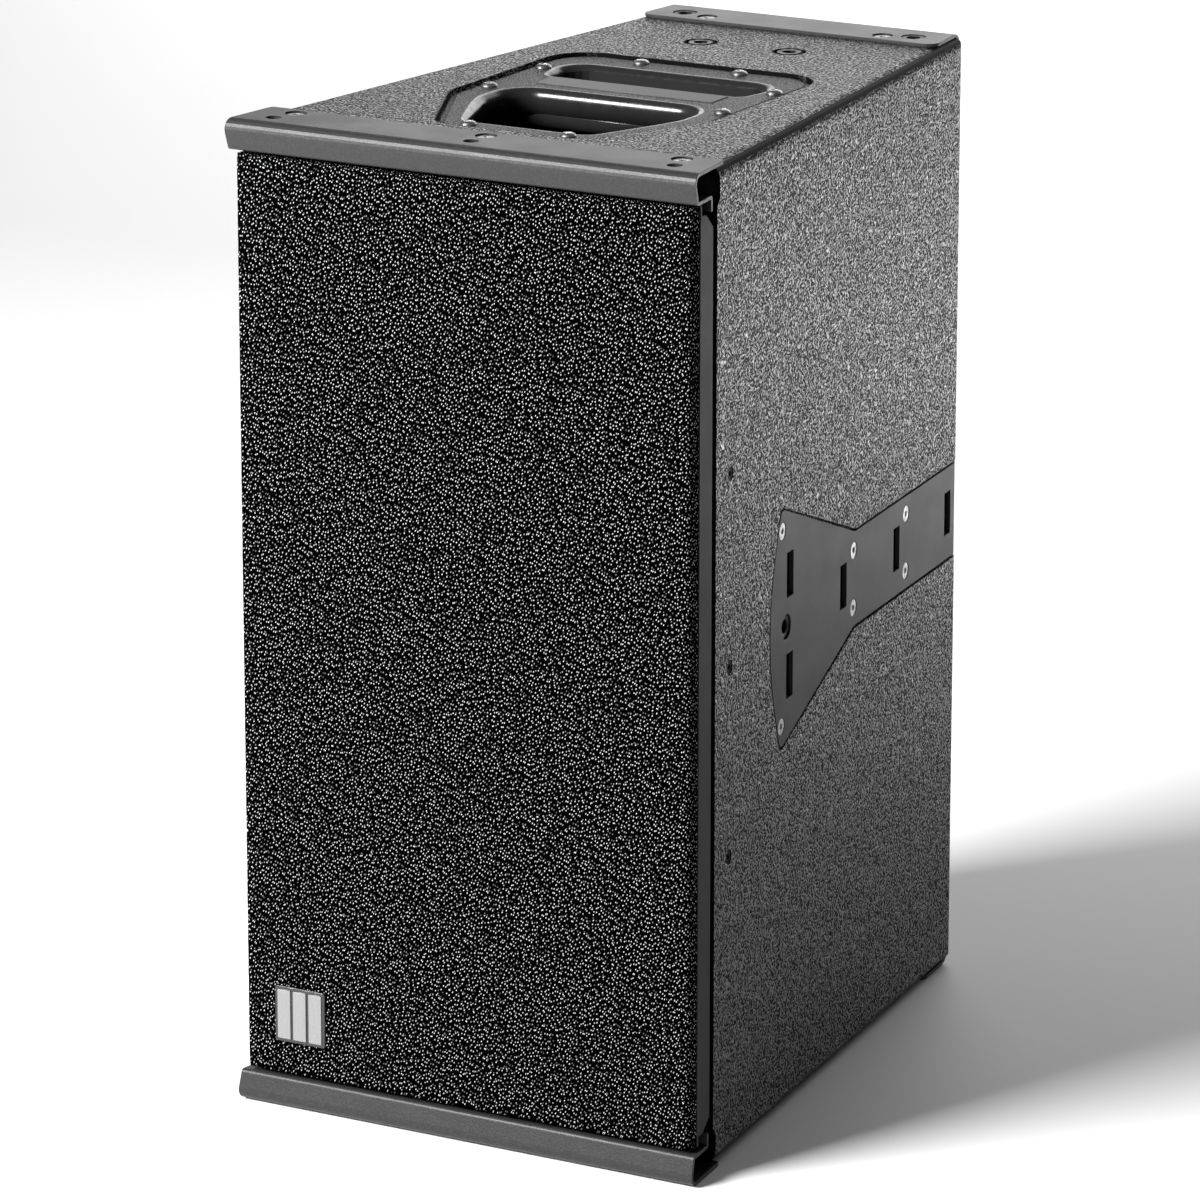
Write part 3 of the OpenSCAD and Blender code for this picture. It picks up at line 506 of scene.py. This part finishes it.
def grown(outline, amount):
    """The outline moved outwards, by a number or by a function of each point."""
    count = len(outline)
    middle = sum(outline, Vector((0, 0))) / count
    moved = []
    for i, point in enumerate(outline):
        along = (outline[(i + 1) % count] - outline[i - 1]).normalized()
        out = Vector((along.y, -along.x))
        if out.dot(point - middle) < 0:
            out = -out
        moved.append(point + out * (amount(point) if callable(amount) else amount))
    return moved


def quarter(steps=QUARTER_STEPS):
    """(inwards, down) shares of a quarter round, from its top to its side."""
    return [(1 - math.sin(a), 1 - math.cos(a)) for a in (math.pi / 2 * k / steps for k in range(steps + 1))]


def add_slab(shell, outline, bottom, top, edge, kind=0):
    """A flat slab with its upper edges rounded."""
    last = shell.ring(grown(outline, -edge * (1 + CAP_INSET)), top)
    shell.cap(last, kind=kind)
    for inwards, down in quarter(SLAB_STEPS):
        ring = shell.ring(grown(outline, -edge * inwards), top - edge * down)
        shell.bridge(last, ring, kind)
        last = ring
    base = shell.ring(outline, bottom)
    shell.bridge(last, base, kind)
    shell.cap(base, kind=kind)


# ---------------------------------------------------------------- handles

# Half outlines as (across, depth behind the front), in millimetres, with their corner radii
PLATE_OUTLINE, PLATE_RADII = ((48, 59), (85, 138), (85, 275)), (14, 30, 26)
FRONT_OPENING, FRONT_RADII = ((40, 77), (62, 138), (62, 172)), (10, 30, 18)
REAR_OPENING, REAR_RADII = ((64, 210), (66, 244)), (6, 14)
PLATE_EDGE = 1.2
PLATE_RIM = 3.5
PLATE_STEP = 0.8
PLATE_THICK = 3.0
LIP_STEPS = 8
LIP_LONGEST = 3.0
LIP_ROOM = 1.0
WELL_DEEP = 14.0
WELL_WALL = 2.2
BAR_FRONT, BAR_REAR, BAR_HALF = 172.0, 210.0, 65.8
BAR_DEEP, BAR_ROUND, BAR_TOP_ROUND = 24.0, 9.0, 0.4
BAR_GAP = 0.15
LABEL_HALF, LABEL_FRONT, LABEL_REAR, LABEL_THICK = 57.8, 187.2, 206.8, 0.35
LABEL_ROUND, LABEL_EDGE = 1.0, 0.12


def handle_place(end):
    """Places handle points: across, depth and height over the plate, for the top or the bottom."""
    low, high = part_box(f"{end}_handle_frame")
    face, up = (high.z, 1) if end == "top" else (low.z, -1)
    return lambda across, depth, height: (across * MM, cad_low.y + depth * MM, face + up * height * MM)


def growing_lip(small, wide, start, length):
    """An opening's lip radius at a point: small up to start behind the front, wide from length later on."""
    return lambda point: small + (wide - small) * min(max((point.y - start) / length, 0), 1)


HANDLE_OPENINGS = (
    (FRONT_OPENING, FRONT_RADII, growing_lip(2.6, 5.2, 80, 40)),
    (REAR_OPENING, REAR_RADII, growing_lip(2.2, 7.0, 212, 28)),
)


def handle_plate(end):
    """The plate with a stepped rim, and the lips and wells of its two openings."""
    shell = Shell(handle_place(end))
    outline = rounded(mirrored(PLATE_OUTLINE), twice(PLATE_RADII))
    outer = shell.ring(grown(outline, -PLATE_RIM - PLATE_EDGE - CAP_INSET), 0)
    last = outer
    for start, top, radius in ((PLATE_RIM, 0, PLATE_STEP), (0, -PLATE_STEP, PLATE_EDGE)):
        for inwards, down in quarter():
            ring = shell.ring(grown(outline, -start - radius * inwards), top - radius * down)
            shell.bridge(last, ring)
            last = ring
    under_outer = shell.ring(outline, -PLATE_THICK)
    shell.bridge(last, under_outer)
    mouths, under_mouths = [], []
    for corners, radii, lip in HANDLE_OPENINGS:
        hole = rounded(mirrored(corners), twice(radii), LIP_LONGEST)
        mouth = shell.ring(grown(hole, lambda p: lip(p) + CAP_INSET), 0)
        last = mouth
        for inwards, down in quarter(LIP_STEPS):
            ring = shell.ring(grown(hole, lambda p: lip(p) * inwards), [-lip(p) * down for p in hole])
            shell.bridge(last, ring, 1)
            last = ring
        for offset, height in ((0, -WELL_DEEP), (WELL_WALL, -WELL_DEEP)):
            ring = shell.ring(grown(hole, offset), height)
            shell.bridge(last, ring, 1)
            last = ring
        under = shell.ring(grown(hole, lambda p: lip(p) + LIP_ROOM), -PLATE_THICK)
        shell.bridge(last, under, 1)
        mouths.append(mouth)
        under_mouths.append(under)
    shell.cap(outer, mouths)
    shell.cap(under_outer, under_mouths)
    finishes = [FINISHES["handle_plastic"], FINISHES["handle_lip"]]
    plate = shell.piece(f"{end}_handle_plate", finishes, "handle_plastic")
    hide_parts(f"{end}_handle_frame")


def handle_grip(end):
    """The underside of the grip bar, closing it below the two wells."""
    place = handle_place(end)
    shell = Shell(lambda depth, height, across: place(across, depth, height))
    top = -WELL_DEEP - BAR_GAP
    corners = [(BAR_FRONT, -BAR_DEEP), (BAR_REAR, -BAR_DEEP), (BAR_REAR, top), (BAR_FRONT, top)]
    outline = rounded(corners, [BAR_ROUND, BAR_ROUND, BAR_TOP_ROUND, BAR_TOP_ROUND])
    left, right = (shell.ring(outline, side * BAR_HALF) for side in (-1, 1))
    shell.bridge(left, right)
    shell.cap(left)
    shell.cap(right)
    grip = shell.piece(f"{end}_handle_grip", [FINISHES["handle_lip"]], "handle_plastic")
    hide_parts(f"{end}_handle_frame")


def handle_label(end):
    """The blank film on the grip bar."""
    shell = Shell(handle_place(end))
    outline = rounded(mirrored(((LABEL_HALF, LABEL_FRONT), (LABEL_HALF, LABEL_REAR))), [LABEL_ROUND] * 4)
    add_slab(shell, outline, 0.0, LABEL_THICK, LABEL_EDGE)
    label = shell.piece(f"{end}_handle_label", [FINISHES["label_film"]], "label_film")
    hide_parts("handle_labels")


for handle_end in ("top", "bottom"):
    handle_plate(handle_end)
    handle_grip(handle_end)
    handle_label(handle_end)

# ---------------------------------------------------------------- badge

BADGE_BARS = 3
BADGE_RIM = 2.0
BADGE_GAP = 1.8
BADGE_RISE = 0.7
BADGE_ROUND, BADGE_EDGE = 1.5, 0.4
BADGE_BAR_ROUND, BADGE_BAR_EDGE, BADGE_BAR_SUNK = 0.5, 0.25, 0.05


def badge():
    """A dark square base with three plain satin bars."""
    low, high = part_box("badge")
    middle = (low + high) / 2
    half = (high.x - low.x) / 2 / MM
    thick = (high.y - low.y) / MM
    shell = Shell(lambda across, up, out: (middle.x + across * MM, high.y - out * MM, middle.z + up * MM))
    square = [(-half, -half), (half, -half), (half, half), (-half, half)]
    base = thick - BADGE_RISE
    add_slab(shell, rounded(square, [BADGE_ROUND] * 4), 0.0, base, BADGE_EDGE)
    width = (2 * (half - BADGE_RIM) - BADGE_GAP * (BADGE_BARS - 1)) / BADGE_BARS
    end = half - BADGE_RIM
    for number in range(BADGE_BARS):
        left = number * (width + BADGE_GAP) - end
        bar = [(left, -end), (left + width, -end), (left + width, end), (left, end)]
        outline = rounded(bar, [BADGE_BAR_ROUND] * 4)
        add_slab(shell, outline, base - BADGE_BAR_SUNK, thick, BADGE_BAR_EDGE, kind=1)
    made = shell.piece("badge_plate", [FINISHES["handle_lip"], FINISHES["badge_metal"]], "badge_metal")
    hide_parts("badge")


badge()

# ---------------------------------------------------------------- foam

FOAM_STEP = 1.42 * MM
FOAM_ROUND = 3.0 * MM
FOAM_RELIEF = 0.9 * MM
FOAM_ROUND_STEPS = 6
FOAM_SKIRT_RINGS = 4
FOAM_SEED = 7


def stations(low, high):
    """Grid places from low to high, packed closely where the border rounds off."""
    rim = FOAM_ROUND * (1 - np.cos(np.linspace(0, math.pi / 2, FOAM_ROUND_STEPS)))[:-1]
    inner = np.linspace(low + FOAM_ROUND, high - FOAM_ROUND, round((high - low) / FOAM_STEP))
    return np.concatenate([low + rim, inner, (high - rim)[::-1]])


def foam_pad():
    """The foam's front as a grid raised by its cells, with rounded borders, sides and a back."""
    low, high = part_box("grille_foam")
    rng = np.random.default_rng(FOAM_SEED)
    xs, zs = stations(low.x, high.x), stations(low.z, high.z)
    x, z = np.meshgrid(xs, zs, indexing="ij")
    cells = rng.random(x.shape)
    for axis in (0, 1):
        cells = 0.5 * cells + 0.25 * (np.roll(cells, 1, axis) + np.roll(cells, -1, axis))
    cells = (cells - cells.min()) / (cells.max() - cells.min())
    from_side = FOAM_ROUND - np.minimum(np.minimum(x - low.x, high.x - x), FOAM_ROUND)
    from_end = FOAM_ROUND - np.minimum(np.minimum(z - low.z, high.z - z), FOAM_ROUND)
    inside = np.sqrt(np.maximum(FOAM_ROUND**2 - from_side**2 - from_end**2, 0))
    sunk = FOAM_RELIEF * (1 - cells) * inside / FOAM_ROUND
    y = low.y + FOAM_ROUND - inside + sunk
    n, m = x.shape
    vertices = np.stack([x, y, z], -1).reshape(-1, 3)
    index = np.arange(n * m).reshape(n, m)
    quads = np.stack([index[:-1, :-1], index[1:, :-1], index[1:, 1:], index[:-1, 1:]], -1).reshape(-1, 4)
    rim = np.concatenate([index[:, 0], index[-1, 1:], index[-2::-1, -1], index[0, -2:0:-1]])
    rings = [vertices]
    faces = quads.tolist()
    ring = rim
    for step in range(1, FOAM_SKIRT_RINGS + 1):
        lowered = vertices[rim].copy()
        lowered[:, 1] += (high.y - low.y - FOAM_ROUND) * step / FOAM_SKIRT_RINGS
        rings.append(lowered)
        following = n * m + (step - 1) * len(rim) + np.arange(len(rim))
        for a in range(len(rim)):
            b = (a + 1) % len(rim)
            faces.append((ring[b], ring[a], following[a], following[b]))
        ring = following
    faces.append([int(v) for v in ring])
    mesh = bpy.data.meshes.new("foam_front")
    mesh.from_pydata(np.concatenate(rings).tolist(), [], faces)
    mesh.validate()
    mesh.update()
    piece = smooth_piece("foam_front", mesh, [FINISHES["acoustic_foam"]])
    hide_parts("grille_foam")


foam_pad()

# ---------------------------------------------------------------- seals

SEAL_DEEP = 26.0
SEAL_THICK = 2.5
SEAL_SHORT = 4.0
SEAL_INSET = 0.5
SEAL_EDGE = 0.5
SEAL_ROUND = 1.0


def front_seal(name, side):
    """A rubber strip along the baffle's edge, closing the gap behind the grille's flange."""
    low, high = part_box("front_baffle")
    shell = Shell(lambda up, out, across: (side * across * MM, low.y - out * MM, up * MM))
    ends = low.z / MM + SEAL_SHORT, high.z / MM - SEAL_SHORT
    corners = [(ends[0], 0), (ends[1], 0), (ends[1], SEAL_DEEP), (ends[0], SEAL_DEEP)]
    face = high.x / MM - SEAL_INSET
    add_slab(shell, rounded(corners, [SEAL_ROUND] * 4), face - SEAL_THICK, face, SEAL_EDGE)
    shell.piece(name, [FINISHES["surround_rubber"]], "surround_rubber")


front_seal("right_front_seal", 1)
front_seal("left_front_seal", -1)

# ---------------------------------------------------------------- stage

FLOOR_HALF = 12.0
FLOOR_DROP = 0.5 * MM
WORLD_LIGHT = 0.1


def lay_floor():
    """White paper, just below the rails so that the two don't flicker."""
    f = Finish("floor_paper", Roughness=0.6)
    f.color(f.blend(f.noise(0.4, detail=2.0), grey(0.83), grey(0.86)))
    corners = [(x, y, 0.0) for x, y in ((-1, -1), (1, -1), (1, 1), (-1, 1))]
    mesh = bpy.data.meshes.new("floor")
    mesh.from_pydata([Vector(c) * FLOOR_HALF for c in corners], [], [(0, 1, 2, 3)])
    floor = bpy.data.objects.new("floor", mesh)
    floor.location.z = -FLOOR_DROP
    bpy.context.scene.collection.objects.link(floor)
    mesh.materials.append(f.material)


def softbox(name, place, aim, width, height, radiance, spread=180):
    """A soft area light at place, turned to aim, as bright as radiance times a white card."""
    data = bpy.data.lights.new(name, "AREA")
    data.shape = "RECTANGLE"
    data.size, data.size_y = width, height
    data.energy = radiance * math.pi * width * height
    data.spread = math.radians(spread)
    light = bpy.data.objects.new(name, data)
    light.location = place
    light.rotation_mode = "QUATERNION"
    light.rotation_quaternion = (Vector(place) - Vector(aim)).to_track_quat("Z", "Y")
    bpy.context.scene.collection.objects.link(light)


def light_studio():
    world = bpy.data.worlds.new("studio")
    world.use_nodes = True
    background = world.node_tree.nodes["Background"]
    background.inputs["Color"].default_value = grey(1.0)
    background.inputs["Strength"].default_value = WORLD_LIGHT
    bpy.context.scene.world = world
    softbox("key", (-1.25, -2.35, 1.9), (0.0, 0.0, 0.3), 1.25, 1.25, 55.0)
    softbox("rear", (-0.5, 1.6, 1.0), (-0.5, 0.0, 0.9), 1.6, 0.8, 2.0)
    softbox("rear_floor", (0.6, 1.85, 0.75), (0.6, 1.85, 0.0), 1.2, 1.0, 4.9, spread=70)
    softbox("backdrop", (0.0, 4.2, 2.6), (0.0, 4.2, 0.0), 4.0, 2.0, 6.5, spread=130)


lay_floor()
light_studio()
bpy.context.scene.view_settings.view_transform = "Standard"
